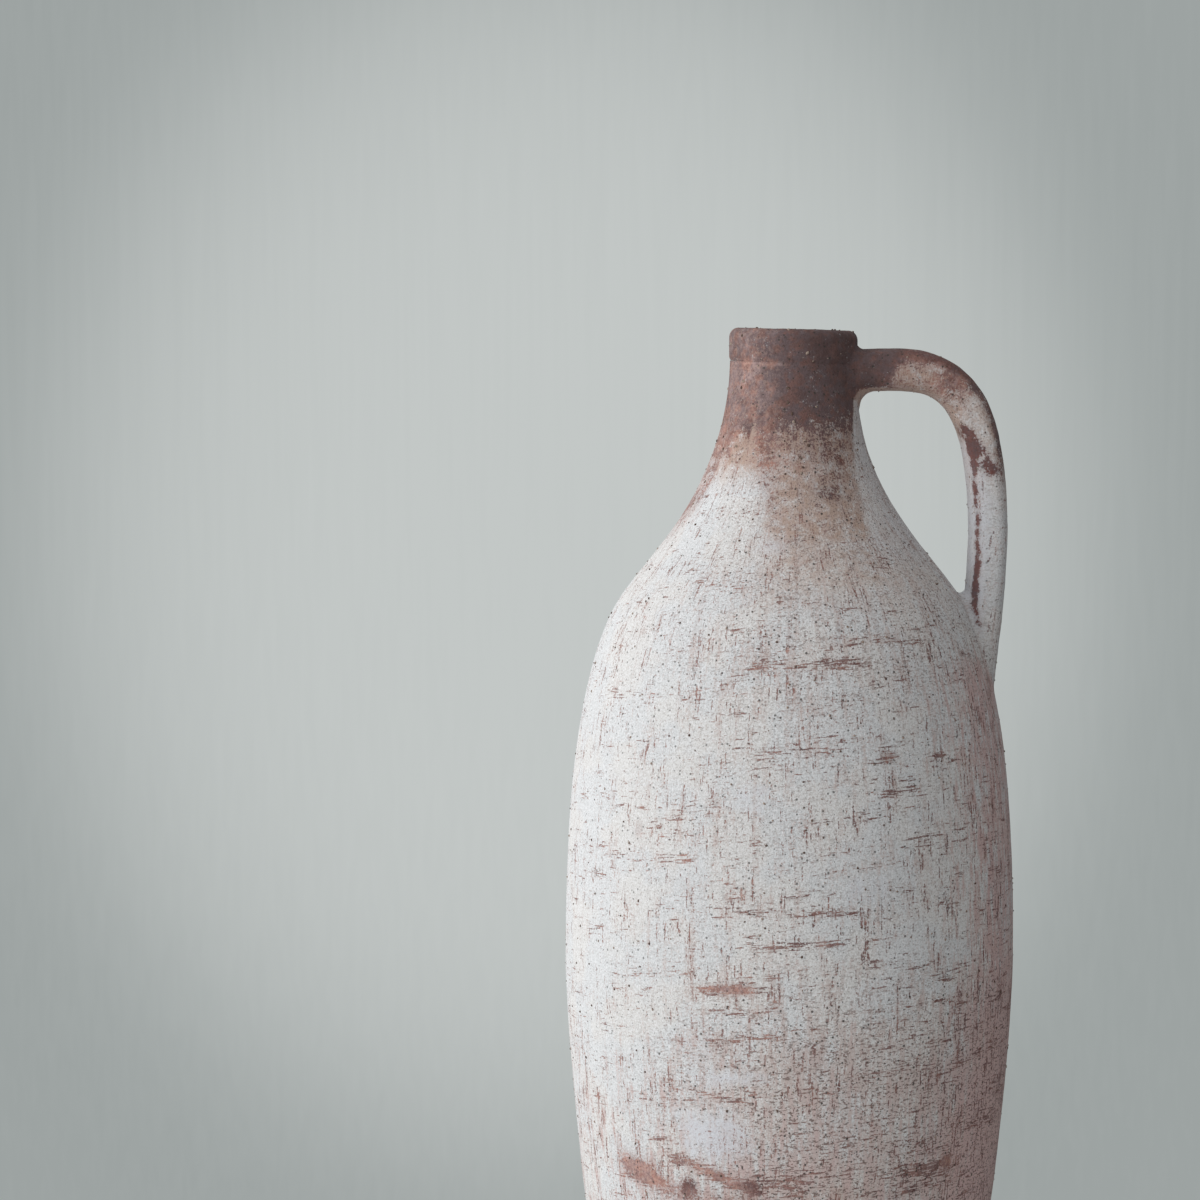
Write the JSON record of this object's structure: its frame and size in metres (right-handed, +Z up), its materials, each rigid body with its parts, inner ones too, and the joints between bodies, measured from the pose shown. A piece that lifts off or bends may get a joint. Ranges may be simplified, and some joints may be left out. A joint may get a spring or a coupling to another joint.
{
  "type": "ceramic pitcher vase",
  "caption": "Tall hand-built stoneware jug used as a vase: ovoid body, narrow neck with a collared mouth, and a strap handle from neck to shoulder.",
  "frame": {"origin": "on the vertical axis of the jug's body, at the plane that its foot stands on", "axes": "+Z up along the body's axis, +X towards the handle"},
  "size_m": [0.1908, 0.1908, 0.4877],
  "materials": {
    "white_slip": "matte chalky white slip, brushed thin in crossing strokes over terracotta, pitted and gritty",
    "worn_slip": "white slip worn through to tan and red-brown clay",
    "bare_clay": "matte unglazed dark purple-brown and terracotta clay with grog",
    "raw_clay": "matte unglazed terracotta clay"
  },
  "bodies": {
    "root": {"floor_slab": "raw_clay", "floor_coil": "raw_clay", "lower_wall": "white_slip", "belly_coil": "raw_clay", "upper_wall": "white_slip", "neck": "bare_clay", "rim_collar": "bare_clay", "handle": "worn_slip", "upper_handle_lute": "bare_clay", "lower_handle_lute": "white_slip"}
  },
  "joints": []
}
